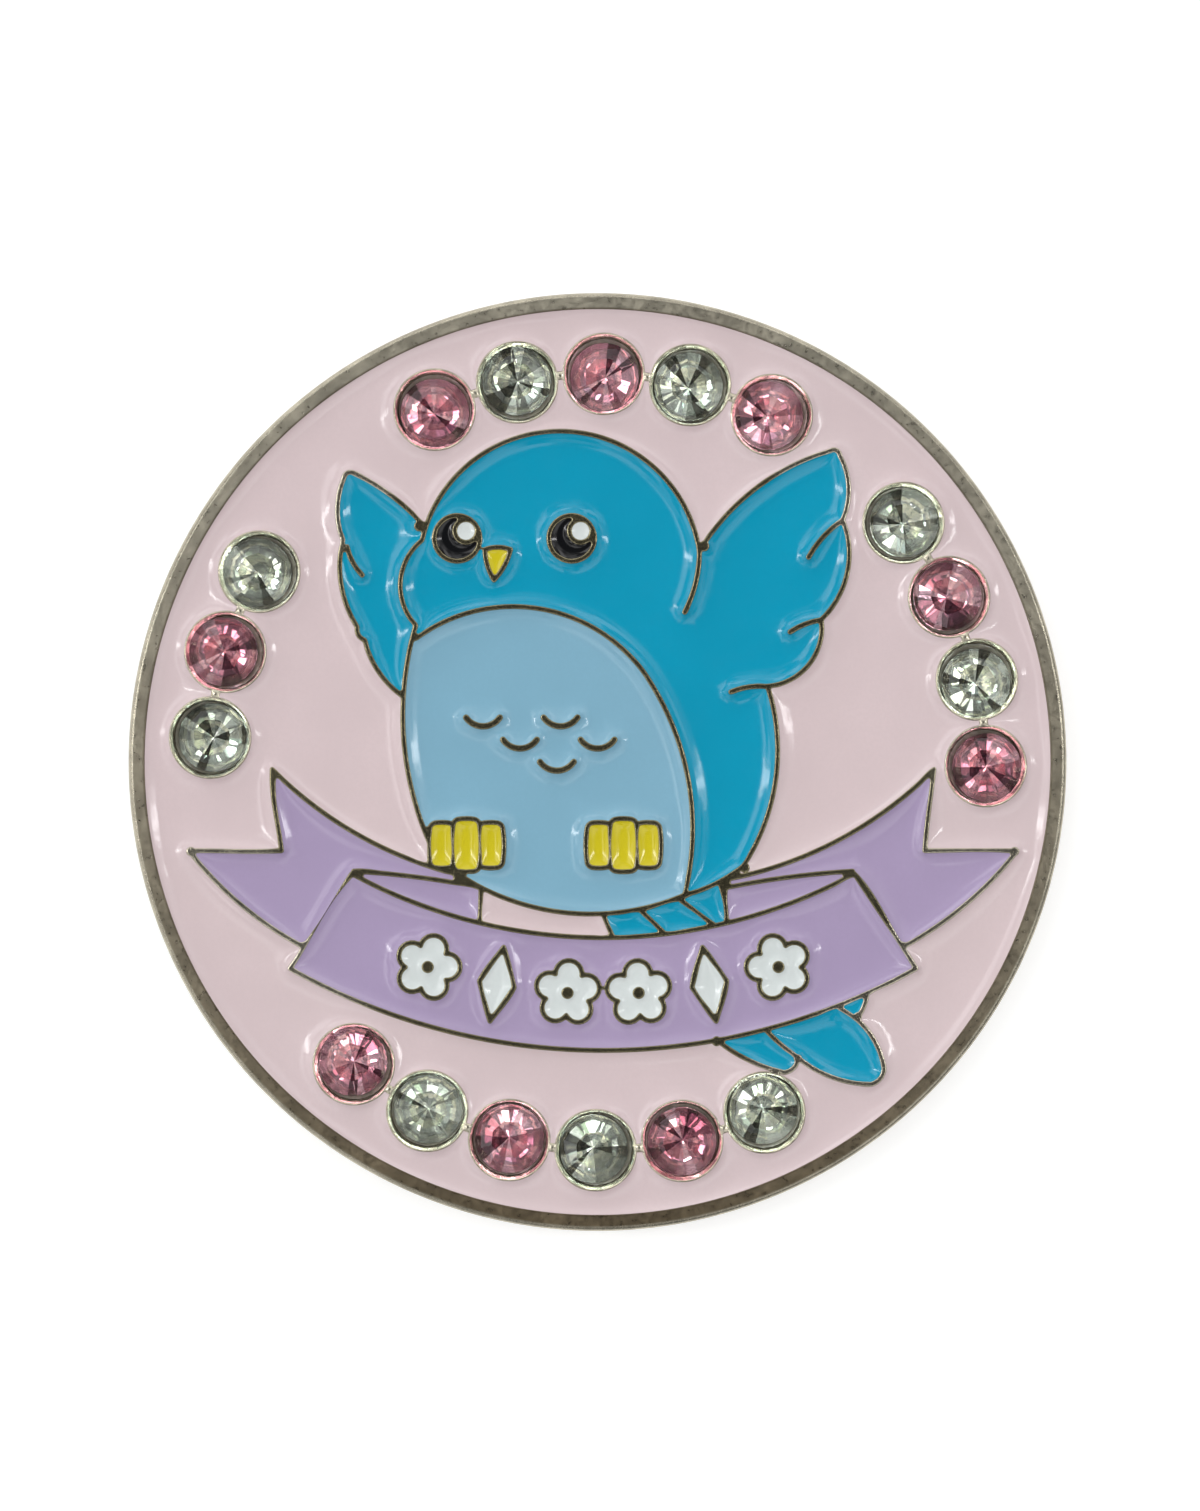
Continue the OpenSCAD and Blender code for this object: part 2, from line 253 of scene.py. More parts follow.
def inside_loop(point, loop):
    """Whether a point lies inside a closed loop."""
    a, b = loop, np.roll(loop, -1, axis=0)
    crosses = (a[:, 1] > point[1]) != (b[:, 1] > point[1])
    a, b = a[crosses], b[crosses]
    x = a[:, 0] + (point[1] - a[:, 1]) * (b[:, 0] - a[:, 0]) / (b[:, 1] - a[:, 1])
    return int((x > point[0]).sum()) % 2 == 1


def inside_mask(points, loops):
    """Which of many points lie in the area between the loops."""
    count = np.zeros(len(points), dtype=int)
    for loop in loops:
        a, b = loop, np.roll(loop, -1, axis=0)
        for p, q in zip(a, b):
            if p[1] == q[1]:
                continue
            hit = (p[1] > points[:, 1]) != (q[1] > points[:, 1])
            if hit.any():
                x = p[0] + (points[hit, 1] - p[1]) * (q[0] - p[0]) / (q[1] - p[1])
                count[np.flatnonzero(hit)[x > points[hit, 0]]] += 1
    return count % 2 == 1


def edge_tree(loops):
    """Finds the nearest point of the loops."""
    points = np.concatenate(loops)
    tree = KDTree(len(points))
    for i, p in enumerate(points):
        tree.insert((p[0], p[1], 0), i)
    tree.balance()
    return tree


def distances(points, tree):
    """How far each point lies from the nearest one in the tree."""
    return np.array([tree.find((p[0], p[1], 0))[2] for p in points])


def triangulate(loops, rings=(), grid=0.0):
    """Fills the area between the loops. rings are distances from the edge at which a row of points
    follows it, and grid is the spacing of the points further in. Returns the points, the triangles,
    and for each loop the numbers of its points."""
    points = [np.concatenate(loops)]
    tree = edge_tree(loops)
    if len(rings):
        normals = inward_normals(loops)
        for depth in rings:
            stride = max(1, int(depth / (1.5 * STEP)))
            for loop, normal in zip(loops, normals):
                moved = (loop + normal * depth)[::stride]
                near = distances(moved, tree)
                points.append(moved[near > 0.93 * depth])
    if grid:
        low = points[0].min(axis=0)
        high = points[0].max(axis=0)
        rows = []
        y = low[1]
        odd = False
        while y < high[1]:
            x = np.arange(low[0] + (grid / 2 if odd else 0), high[0], grid)
            rows.append(np.stack([x, np.full(len(x), y)], axis=1))
            y += grid * 0.866
            odd = not odd
        dots = np.concatenate(rows)
        far = distances(dots, tree) > (rings[-1] if len(rings) else 0) + grid * 0.6
        dots = dots[far]
        points.append(dots[inside_mask(dots, loops)])
    points = np.concatenate(points)
    edges = []
    start = 0
    for loop in loops:
        n = len(loop)
        edges += [(start + i, start + (i + 1) % n) for i in range(n)]
        start += n
    flat = [Vector((float(p[0]), float(p[1]))) for p in points]
    out, _, faces, origin, _, _ = delaunay_2d_cdt(flat, edges, [], 0, 1e-6)
    place = {}
    xy = np.array([v[:] for v in out])
    for i, sources in enumerate(origin):
        for source in sources:
            place[source] = i
            xy[i] = points[source]
    rims = []
    start = 0
    for loop in loops:
        rims.append([place[start + i] for i in range(len(loop))])
        start += len(loop)
    return xy, keep_inside(faces, rims), rims


def keep_inside(triangles, rims):
    """The triangles that lie an odd number of outlines in from the outside."""
    walls = set()
    for rim in rims:
        for a, b in zip(rim, rim[1:] + rim[:1]):
            walls.add((min(a, b), max(a, b)))
    beside = {}
    for number, (a, b, c) in enumerate(triangles):
        for p, q in ((a, b), (b, c), (c, a)):
            beside.setdefault((min(p, q), max(p, q)), []).append(number)
    level = {}
    queue = []
    for edge, owners in beside.items():
        if len(owners) == 1 and owners[0] not in level:
            level[owners[0]] = edge in walls
            queue.append(owners[0])
    while queue:
        number = queue.pop()
        a, b, c = triangles[number]
        for p, q in ((a, b), (b, c), (c, a)):
            edge = (min(p, q), max(p, q))
            for other in beside[edge]:
                if other not in level:
                    level[other] = level[number] != (edge in walls)
                    queue.append(other)
    return [tuple(t) for number, t in enumerate(triangles) if level[number]]


def relax(xy, triangles, fixed, reach):
    """Height of a surface that is 1 at the fixed points and sinks to 0 over about one reach, as a
    liquid's does beside a wall. Solves h = reach^2 * laplacian(h) on the triangles."""
    tri = np.array(triangles)
    count = len(xy)
    rows, cols, weights = [], [], []
    mass = np.zeros(count)
    a, b, c = xy[tri[:, 0]], xy[tri[:, 1]], xy[tri[:, 2]]
    area = np.abs((b - a)[:, 0] * (c - a)[:, 1] - (b - a)[:, 1] * (c - a)[:, 0]) / 2
    area = np.maximum(area, 1e-9)
    for k in range(3):
        i, j, o = tri[:, k], tri[:, (k + 1) % 3], tri[:, (k + 2) % 3]
        cot = ((xy[i] - xy[o]) * (xy[j] - xy[o])).sum(axis=1) / (2 * area)
        cot = np.clip(cot / 2, 0.01, 20)
        rows += [i, j]
        cols += [j, i]
        weights += [cot, cot]
        mass += np.bincount(tri[:, k], area / 3, count)
    rows, cols, weights = np.concatenate(rows), np.concatenate(cols), np.concatenate(weights)
    diagonal = np.bincount(rows, weights, count) + np.maximum(mass, 1e-9) / reach**2
    free = np.ones(count)
    free[list(fixed)] = 0

    def apply(h):
        return diagonal * h - np.bincount(rows, weights * h[cols], count)

    h = 1 - free
    residual = -apply(h) * free
    guide = residual / diagonal
    energy = (residual * guide).sum()
    step = guide.copy()
    for _ in range(400):
        pushed = apply(step) * free
        size = (step * pushed).sum()
        if size < 1e-18:
            break
        alpha = energy / size
        h = h + alpha * step
        residual = residual - alpha * pushed
        guide = residual / diagonal
        new_energy = (residual * guide).sum()
        if new_energy < 1e-12:
            break
        step = guide + step * new_energy / energy
        energy = new_energy
    return h


class Solid:
    """Collects the points and faces of one closed mesh."""

    def __init__(self):
        self.points = []
        self.faces = []
        self.slots = []

    def add(self, points):
        """Adds points and returns their numbers."""
        start = len(self.points)
        self.points += [tuple(float(v) for v in p) for p in points]
        return list(range(start, len(self.points)))

    def face(self, corners, slot=0):
        """Adds one face in the material of a slot."""
        self.faces.append(tuple(corners))
        self.slots.append(slot)

    def strip(self, upper, lower, slot=0):
        """Joins two closed rows of as many points with quads."""
        n = len(upper)
        for i in range(n):
            j = (i + 1) % n
            self.face((upper[i], upper[j], lower[j], lower[i]), slot)

    def make(self, name, materials, smooth_angle=None):
        """Makes the Blender object, with its faces turned outward."""
        mesh = bpy.data.meshes.new(name)
        mesh.from_pydata([tuple(v * MM for v in p) for p in self.points], [], self.faces)
        for polygon, slot in zip(mesh.polygons, self.slots):
            polygon.material_index = slot
        work = bmesh.new()
        work.from_mesh(mesh)
        bmesh.ops.recalc_face_normals(work, faces=work.faces)
        work.to_mesh(mesh)
        work.free()
        for entry in materials:
            mesh.materials.append(entry)
        if smooth_angle is not None:
            mesh.shade_smooth()
            mesh.set_sharp_from_angle(angle=math.radians(smooth_angle))
        piece = bpy.data.objects.new(name, mesh)
        bpy.context.scene.collection.objects.link(piece)
        return piece


def wobble(x, y, scale, seed):
    """Smooth noise between about -1 and 1, with waves of about one scale."""
    return noise.noise((x / scale, y / scale, seed))


# ---- Materials ----


class Nodes:
    """Short calls for building one material's nodes."""

    def __init__(self, name):
        self.material = bpy.data.materials.new(name)
        self.material.use_nodes = True
        self.tree = self.material.node_tree
        self.tree.nodes.clear()
        self.output = self.tree.nodes.new("ShaderNodeOutputMaterial")
        self.shader = self.tree.nodes.new("ShaderNodeBsdfPrincipled")
        self.tree.links.new(self.shader.outputs[0], self.output.inputs["Surface"])
        self.coords = self.tree.nodes.new("ShaderNodeTexCoord").outputs["Object"]

    def node(self, kind, **inputs):
        """Adds a node with these inputs."""
        made = self.tree.nodes.new(kind)
        for name, value in inputs.items():
            self.put(made.inputs[name.replace("_", " ")], value)
        return made

    def put(self, socket, value):
        """Links a socket to another one, or sets its value."""
        if isinstance(value, bpy.types.NodeSocket):
            self.tree.links.new(value, socket)
        else:
            socket.default_value = value

    def shade(self, **inputs):
        """Sets inputs of the material's main shader."""
        for name, value in inputs.items():
            self.put(self.shader.inputs[name.replace("_", " ")], value)

    def noise(self, size_mm, detail, roughness=0.55, stretch=None):
        """Noise with blobs of about one size; stretch scales each axis of the pattern."""
        coords = self.coords
        if stretch:
            mapping = self.node("ShaderNodeMapping", Vector=coords)
            mapping.inputs["Scale"].default_value = stretch
            coords = mapping.outputs[0]
        made = self.node("ShaderNodeTexNoise", Vector=coords, Scale=1 / (size_mm * MM))
        self.put(made.inputs["Detail"], detail)
        self.put(made.inputs["Roughness"], roughness)
        return made.outputs["Fac"]

    def spread(self, value, low, high, start=0.3, end=0.7):
        """Maps a noise value from start..end to low..high."""
        made = self.node("ShaderNodeMapRange", Value=value)
        made.inputs["From Min"].default_value = start
        made.inputs["From Max"].default_value = end
        made.inputs["To Min"].default_value = low
        made.inputs["To Max"].default_value = high
        return made.outputs[0]

    def blend(self, factor, low, high):
        """Mixes two colours."""
        made = self.tree.nodes.new("ShaderNodeMix")
        made.data_type = "RGBA"
        self.put(made.inputs[0], factor)
        self.put(made.inputs[6], low)
        self.put(made.inputs[7], high)
        return made.outputs[2]

    def bump(self, height, depth_mm, under=None):
        """A bump whose full height is depth_mm."""
        made = self.node("ShaderNodeBump", Height=height, Distance=depth_mm * MM, Strength=1.0)
        if under is not None:
            self.put(made.inputs["Normal"], under)
        return made.outputs[0]


def linear(value):
    """The linear value of one sRGB channel of 0 to 255."""
    value /= 255
    return value / 12.92 if value <= 0.04045 else ((value + 0.055) / 1.055) ** 2.4


def enamel_colour(r, g, b):
    """The shader's colour for an enamel that is seen as this sRGB triple under the studio's light."""
    return tuple(linear(value) * ENAMEL_GAIN for value in (r, g, b)) + (1.0,)


def tinted(rgba, by):
    """A colour times another."""
    return (rgba[0] * by[0], rgba[1] * by[1], rgba[2] * by[2], 1.0)


def scaled(rgba, factor):
    """A darker or lighter tone of a colour."""
    return tinted(rgba, (factor, factor, factor))


def enamel_material(name, rgba):
    """Glossy soft enamel: slightly uneven colour, a gentle orange peel and a few fine specks."""
    m = Nodes(name)
    mottle = m.spread(m.noise(2.2, 4), 0, 1)
    grain = m.spread(m.noise(0.09, 2), 0, 1)
    tone = m.blend(mottle, scaled(rgba, 0.965), scaled(rgba, 1.02))
    tone = m.blend(m.spread(grain, 0.0, 0.35), tone, scaled(rgba, 0.96))
    peel = m.bump(m.noise(1.3, 2, 0.4), 0.005)
    fine = m.bump(m.noise(0.16, 2), 0.0006, peel)
    m.shade(Base_Color=tone, Roughness=m.spread(m.noise(0.5, 3), 0.07, 0.13), Normal=fine)
    return m.material


def nickel_material(name, rgba):
    """Nickel plate with painted shade: lines darker than cups, rim dull, dark at its foot and browner
    lower down.
    """
    m = Nodes(name)
    flat = m.node("ShaderNodeVectorMath", Vector=m.coords)
    flat.operation = "MULTIPLY"
    flat.inputs[1].default_value = (1, 1, 0)
    radius = m.node("ShaderNodeVectorMath", Vector=flat.outputs[0])
    radius.operation = "LENGTH"
    radius = radius.outputs["Value"]
    height = m.node("ShaderNodeSeparateXYZ", Vector=m.coords).outputs["Y"]
    # Mask of the painted shade on the rim: 1 at the bottom, fading out above the middle.
    lower = m.spread(height, 1, 0, -COIN_R * MM, 0.5 * COIN_R * MM)

    def outward(start, end):
        """Rises from 0 to 1 between two depths in from the coin's edge."""
        return m.spread(radius, 0, 1, (COIN_R - start) * MM, (COIN_R - end) * MM)

    on_cups, on_rim = outward(3.8, 3.4), outward(0.6, 0.5)
    past_foot, on_edge = outward(0.45, 0.38), outward(0.17, 0.09)
    tarnish = m.spread(m.noise(0.7, 5), 0, 1, 0.4, 0.62)
    grain = m.noise(0.05, 4, 0.6)
    # Painted shade: the lines are a darker copy of the nickel, and the cups a lighter copy.
    lines = m.blend(on_cups, tinted(rgba, (0.56, 0.54, 0.42)), scaled(rgba, 1.1))
    # Painted shade: the rim grows darker and browner lower down.
    rim = m.blend(lower, scaled(rgba, 0.86), tinted(rgba, (0.4, 0.34, 0.27)))
    # Painted shade: a dark band at the foot of the rim, where it meets the enamel.
    rim = m.blend(past_foot, tinted(rgba, (0.25, 0.22, 0.18)), rim)
    rim = m.blend(on_edge, rim, scaled(rgba, 0.85))
    # The tone with its painted shade, before the random tarnish.
    tone_with_painted_shade = m.blend(on_rim, lines, rim)
    tone = m.blend(tarnish, m.blend(0.25, tone_with_painted_shade, (0, 0, 0, 1)), tone_with_painted_shade)
    worn = m.spread(m.noise(0.14, 4), 0.25, 0.46)
    rough = m.node("ShaderNodeMix", Factor=on_rim, A=m.spread(grain, 0.1, 0.26), B=worn)
    rough = m.node("ShaderNodeMix", Factor=on_edge, A=rough.outputs[0], B=m.spread(grain, 0.18, 0.3))
    coarse = m.bump(m.noise(0.3, 4, 0.6), 0.003)
    pitted = m.bump(grain, 0.005, coarse)
    m.shade(Base_Color=tone, Metallic=1.0, Roughness=rough.outputs[0], Normal=pitted)
    return m.material


def sandblast_material(name, rgba):
    """The cast back: nickel over a fine pebbled texture."""
    m = Nodes(name)
    pebble = m.node("ShaderNodeTexVoronoi", Vector=m.coords, Scale=1 / (0.16 * MM)).outputs["Distance"]
    tone = m.blend(m.spread(m.noise(1.5, 5), 0, 1), scaled(rgba, 0.75), rgba)
    rough = m.spread(m.noise(0.2, 3), 0.28, 0.45)
    m.shade(Base_Color=tone, Metallic=1.0, Roughness=rough, Normal=m.bump(pebble, 0.02))
    return m.material


def steel_material(name, rgba):
    """Rolled steel: fine straight grain, a few rust-brown specks and dull patches."""
    m = Nodes(name)
    grain = m.noise(0.6, 5, 0.7, (0.12, 9, 1))
    patches = m.spread(m.noise(2.5, 4), 0, 1)
    specks = m.spread(m.noise(0.35, 3), 0, 1, 0.68, 0.75)
    tone = m.blend(patches, scaled(rgba, 0.8), rgba)
    tone = m.blend(specks, tone, (0.16, 0.09, 0.05, 1))
    m.shade(Base_Color=tone, Metallic=1.0, Roughness=m.spread(grain, 0.24, 0.42))
    m.shade(Normal=m.bump(grain, 0.003))
    return m.material


def glass_material(name, rgba):
    """Cut glass with a trace of uneven polish. Light from the lamps passes straight through."""
    m = Nodes(name)
    tone = m.blend(m.spread(m.noise(0.4, 2), 0, 1), rgba, scaled(rgba, 0.97))
    m.shade(Base_Color=tone, Roughness=m.spread(m.noise(0.1, 2), 0.0, 0.02))
    m.shade(Transmission_Weight=1.0, IOR=1.56, Normal=m.bump(m.noise(0.5, 2), 0.0008))
    path = m.node("ShaderNodeLightPath")
    clear = m.node("ShaderNodeBsdfTransparent", Color=rgba)
    both = m.node("ShaderNodeMixShader", Fac=path.outputs["Is Shadow Ray"])
    m.tree.links.new(m.shader.outputs[0], both.inputs[1])
    m.tree.links.new(clear.outputs[0], both.inputs[2])
    m.tree.links.new(both.outputs[0], m.output.inputs["Surface"])
    return m.material


def foil_material(name, rgba, metallic=1.0):
    """Silver foil behind glass: a little uneven, with part of the light scattered."""
    m = Nodes(name)
    tone = m.blend(m.spread(m.noise(0.25, 3), 0, 1), scaled(rgba, 0.8), rgba)
    m.shade(Base_Color=tone, Metallic=metallic, Roughness=m.spread(m.noise(0.1, 2), 0.01, 0.05))
    m.shade(Normal=m.bump(m.noise(0.15, 2), 0.0008))
    return m.material


def cement_material(name, rgba):
    """Clear cement, set glossy with small bubbles."""
    m = Nodes(name)
    tone = m.blend(m.spread(m.noise(0.3, 3), 0, 1), scaled(rgba, 0.6), rgba)
    m.shade(Base_Color=tone, Roughness=m.spread(m.noise(0.2, 3), 0.15, 0.35))
    m.shade(Normal=m.bump(m.noise(0.12, 3), 0.01))
    return m.material


NICKEL = (0.6, 0.555, 0.44, 1)
ENAMEL_GAIN = 0.91
ENAMELS = {
    "enamel_pink": (222, 203, 205),
    "enamel_teal": (10, 156, 191),
    "enamel_sky": (134, 182, 205),
    "enamel_lilac": (176, 159, 193),
    "enamel_yellow": (214, 199, 34),
    "enamel_white": (222, 229, 228),
    "enamel_black": (14, 15, 18),
}
SLOT_OF = {entry["node"]: entry["material_slot"] for entry in frame["record"]["subparts"]}
MATERIALS = {slot: enamel_material(slot, enamel_colour(*rgb)) for slot, rgb in ENAMELS.items()}
MATERIALS["nickel"] = nickel_material("nickel", NICKEL)
MATERIALS["nickel_back"] = sandblast_material("nickel_back", NICKEL)
MATERIALS["steel"] = steel_material("steel", (0.5, 0.5, 0.5, 1))
MATERIALS["adhesive"] = cement_material("adhesive", (0.55, 0.47, 0.25, 1))
MATERIALS["cement"] = cement_material("cement", (0.3, 0.28, 0.23, 1))
MATERIALS["foil"] = foil_material("foil", (0.7, 0.7, 0.66, 1))
MATERIALS["stone_pink"] = glass_material("stone_pink", (0.94, 0.63, 0.735, 1))
MATERIALS["stone_clear"] = glass_material("stone_clear", (0.93, 0.96, 0.935, 1))

# Tones of the foil behind the wedges of a stone's back, dark to light, and their shares: painted
# reflections
BACK_REFLECTION_TONES = {
    "pink": [
        (0.12, 0.06, 0.08, 1),
        (0.5, 0.31, 0.35, 1),
        (0.82, 0.62, 0.66, 1),
        (1.0, 0.95, 0.96, 1),
    ],
    "clear": [
        (0.08, 0.08, 0.07, 1),
        (0.4, 0.41, 0.38, 1),
        (0.76, 0.78, 0.73, 1),
        (0.98, 0.99, 0.96, 1),
    ],
}
REFLECTION_SHARES = (2, 4, 4, 3)


def back_materials(kind):
    """The foil materials behind stones of one kind, one for each painted reflection tone."""
    return [
        foil_material(f"foil_{kind}_{number}", rgba, metallic=0.85)
        for number, rgba in enumerate(BACK_REFLECTION_TONES[kind])
    ]


BACKS = {kind: back_materials(kind) for kind in BACK_REFLECTION_TONES}

# ---- Enamel ----

# Distances from a line at which a row of points follows it, and the spacing of points further in
FILL_RINGS = (0.02, 0.045, 0.08, 0.12, 0.17, 0.23, 0.3, 0.4, 0.55)
FILL_GRID = 0.35
# How far from a line the enamel climbs, its height at the line, and its height far from any
CLIMB_REACH = 0.24
EDGE_Z = FACE_Z - 0.03
LOW_Z = FACE_Z - 0.2

LOOPS = {name: [smooth_loop(loop) for loop in top_loops(name)] for name in FILLS}


def make_fill(name):
    """A pool of enamel that climbs to the raised lines round it."""
    loops = LOOPS[name]
    xy, triangles, rims = triangulate(loops, FILL_RINGS, FILL_GRID)
    height = relax(xy, triangles, {i for rim in rims for i in rim}, CLIMB_REACH)
    z = LOW_Z + (EDGE_Z - LOW_Z) * height
    solid = Solid()
    top = solid.add(np.column_stack([xy, z]))
    for a, b, c in triangles:
        solid.face((top[a], top[b], top[c]))
    flat_xy, flat_triangles, flat_rims = triangulate(loops)
    floor = solid.add(np.column_stack([flat_xy, np.full(len(flat_xy), POCKET_Z)]))
    for a, b, c in flat_triangles:
        solid.face((floor[a], floor[b], floor[c]))
    for upper, lower in zip(rims, flat_rims):
        solid.strip([top[i] for i in upper], [floor[i] for i in lower])
    slot = SLOT_OF[name]
    piece = solid.make("enamel_" + name, [MATERIALS[slot]], smooth_angle=50)
    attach(piece, "root")
    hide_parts(name)


# ---- Coin ----

# Rows of points on the metal's shoulders and further in on the rim, and points round the rim
METAL_RINGS = (0.003, 0.01, 0.022, 0.045)
RIM_RINGS = (0.08, 0.14, 0.2)
RIM_COUNT = 720
# Distance below which two cups are neighbours, and the reach and drop of the domed bar between them
CUP_PITCH = 2.6
BAR_REACH, BAR_FADE = 0.32, 0.1
BAR_HALF, BAR_DROP = 0.13, 0.045
# How uneven the cast face is, and how far it may rise over the CAD's face
FACE_LIFT = 0.0035
LIFT_LIMIT = 0.004


def stone_centre(name):
    """The middle of a stone's cup, seen from above."""
    low, high = box_mm(name)
    return (low[0] + high[0]) / 2, (low[1] + high[1]) / 2


def between_cups(xy):
    """How near points lie to the small bars of metal between neighbouring cups, from 0 to 1."""
    centres = [np.array(stone_centre(name)) for name in STONES]
    near = np.zeros(len(xy))
    for i, a in enumerate(centres):
        for b in centres[i + 1:]:
            if np.linalg.norm(b - a) < CUP_PITCH:
                away = np.linalg.norm(xy - (a + b) / 2, axis=1)
                near = np.maximum(near, np.clip((BAR_REACH - away) / BAR_FADE, 0, 1))
    return near


def rounded(distance, near):
    """Height below the top of a line, by the distance from its edge. Bars between cups are domed."""
    inside = np.clip(LINE_ROUND - distance, 0, LINE_ROUND)
    shoulder = np.sqrt(LINE_ROUND**2 - inside**2) - LINE_ROUND
    dome = -BAR_DROP * np.clip(1 - distance / BAR_HALF, 0, 1) ** 1.6
    return shoulder * (1 - near) + dome * near


def make_coin():
    """The casting: lines, rim and cups with round shoulders, pockets, bores, edge and back."""
    solid = Solid()
    spokes = spokes_of(RIM_COUNT)
    outer = spokes * (COIN_R - FACE_EDGE_R)
    pockets = [loop for name in FILLS for loop in LOOPS[name]]
    mouths = [circle_loop(CUP_MOUTH_R, stone_centre(name)) for name in STONES]
    loops = [outer] + pockets + mouths
    xy, triangles, rims = triangulate(loops, METAL_RINGS + RIM_RINGS)
    depth = distances(xy, edge_tree(pockets + mouths))
    z = FACE_Z + rounded(depth, between_cups(xy))
    lift = np.array([wobble(x, y, 0.35, 1.5) + 0.6 * wobble(x, y, 0.09, 4.5) for x, y in xy])
    z += np.where(depth > METAL_RINGS[1], FACE_LIFT * lift, 0)
    z = np.minimum(z, FACE_Z + LIFT_LIMIT)
    top = solid.add(np.column_stack([xy, z]))
    for a, b, c in triangles:
        solid.face((top[a], top[b], top[c]))
    at = 1
    for name in FILLS:
        flat_xy, flat_triangles, flat_rims = triangulate(LOOPS[name])
        floor = solid.add(np.column_stack([flat_xy, np.full(len(flat_xy), POCKET_Z)]))
        for a, b, c in flat_triangles:
            solid.face((floor[a], floor[b], floor[c]))
        for rim in flat_rims:
            solid.strip([top[i] for i in rims[at]], [floor[i] for i in rim])
            at += 1
    for name in STONES:
        make_bore(solid, [top[i] for i in rims[at]], name)
        at += 1
    make_outside(solid, [top[i] for i in rims[0]], spokes)
    piece = solid.make("coin_casting", [MATERIALS["nickel"], MATERIALS["nickel_back"]], smooth_angle=42)
    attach(piece, "root")
    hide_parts("coin")


def make_bore(solid, mouth, name):
    """The inside of one cup, from its mouth down to its floor."""
    centre = np.array(stone_centre(name))
    rows = [
        (CUP_MOUTH_R - 0.012, FACE_Z - 0.06),
        (CUP_BORE_R - 0.05, FACE_Z - 0.35),
        (CUP_BORE_R - 0.06, CUP_FLOOR_Z + 0.1),
        (CUP_BORE_R - 0.16, CUP_FLOOR_Z),
    ]
    upper = mouth
    spokes = spokes_of(len(mouth))
    for radius, z in rows:
        lower = solid.add(np.column_stack([centre + spokes * radius, np.full(len(mouth), z)]))
        solid.strip(upper, lower)
        upper = lower
    solid.face(upper)


def make_outside(solid, edge, spokes):
    """The rounded edge, the wall, the back and the recess for the steel disc."""
    steps = 5
    quarter = [math.pi / 2 * k / steps for k in range(steps + 1)]
    r, z, bend = COIN_R - FACE_EDGE_R, FACE_Z - FACE_EDGE_R, FACE_EDGE_R
    rows = [(r + bend * math.sin(a), z + bend * math.cos(a), 0) for a in quarter[1:]]
    span = z - BACK_EDGE_R
    rows += [(COIN_R, z - span * share, 0) for share in (0.25, 0.5, 0.75)]
    r, bend = COIN_R - BACK_EDGE_R, BACK_EDGE_R
    rows += [(r + bend * math.cos(a), bend * (1 - math.sin(a)), 0) for a in quarter]
    rows += [
        (COIN_R - 0.9, 0, 1),
        ((COIN_R + RECESS_R) / 2, 0, 1),
        (RECESS_R + 0.03, 0, 1),
        (RECESS_R, 0.03, 0),
        (RECESS_R, GLUE_TOP_Z, 0),
    ]
    upper = edge
    for radius, z, slot in rows:
        lower = solid.add(np.column_stack([spokes * radius, np.full(len(spokes), z)]))
        solid.strip(upper, lower, slot)
        upper = lower
    solid.face(upper)


# ---- Stones ----

# Crown facets of a stone, points of the girdle to each, and points all round
FACETS = 8
ARC = 6
ROUND = FACETS * ARC
# How much deeper a stone sits than in the CAD, and the height of its tip counted from its table
SEAT_DROP = 0.03
TIP = STONE_LOW[2] - STONE_HIGH[2] + 2 * SEAT_DROP
# How far a stone may sit off its cup's centre, and how many degrees it may lean
SEAT_SHIFT = 0.08
SEAT_LEAN = 4


def ring_angle(k):
    """The angle of one of the points round a stone."""
    return math.tau * (k - ARC / 2) / ROUND


def cut_back(rng):
    """The pointed back of one stone: its wedges as (first point, points) and the height of its rim."""
    rise = -TIP - CROWN_H - GIRDLE_H
    widths = []
    while sum(widths) < ROUND - 4:
        widths.append(rng.choice((2, 3, 3)))
    widths.append(ROUND - sum(widths))
    wedges, heights, start = [], [0.0] * ROUND, rng.randrange(ARC)
    for width in widths:
        wedges.append((start, width))
        heights[start % ROUND] = rise * rng.uniform(0.9, 1.0)
        start += width
    for start, width in wedges:
        a, b = ring_angle(start), ring_angle(start + width)
        za, zb = heights[start % ROUND], heights[(start + width) % ROUND]
        for k in range(start + 1, start + width):
            c = ring_angle(k)
            low = (za * math.sin(b - c) + zb * math.sin(c - a)) / math.sin(b - a)
            heights[k % ROUND] = low
    return wedges, [height + TIP for height in heights]


def chaton(solid, place, back, rng):
    """A round stone: a flat table, eight crown facets, a narrow girdle and a pointed back of wedges."""
    half = math.pi / FACETS
    apothem = STONE_R * TABLE_SHARE * math.cos(half)
    crown_slope = (CROWN_H - 0.02) / (STONE_R - apothem)
    wedges, heights = back
    table, upper, lower = [], [], []
    for k in range(FACETS):
        a = ring_angle(k * ARC)
        table.append((STONE_R * TABLE_SHARE * math.cos(a), STONE_R * TABLE_SHARE * math.sin(a), 0))
    for k in range(ROUND):
        a = ring_angle(k)
        lean = math.cos((a + half) % (2 * half) - half)
        x, y = STONE_R * math.cos(a), STONE_R * math.sin(a)
        upper.append((x, y, -crown_slope * (STONE_R * lean - apothem)))
        lower.append((x, y, heights[k]))
    table, upper, lower, (culet,) = (
        solid.add([place @ Vector(point) for point in points])
        for points in (table, upper, lower, [(0, 0, TIP)])
    )
    solid.face(table)
    for k in range(FACETS):
        arc = [(k * ARC + i) % ROUND for i in range(ARC + 1)]
        solid.face([table[k]] + [upper[i] for i in arc] + [table[(k + 1) % FACETS]])
    # Each wedge of the back gets one foil tone, as a painted reflection.
    wedge_reflections = rng.choices(range(len(REFLECTION_SHARES)), REFLECTION_SHARES, k=len(wedges))
    for (start, width), tone in zip(wedges, wedge_reflections):
        solid.face([culet] + [lower[(start + i) % ROUND] for i in range(width + 1)], 1 + tone)
    solid.strip(upper, lower)


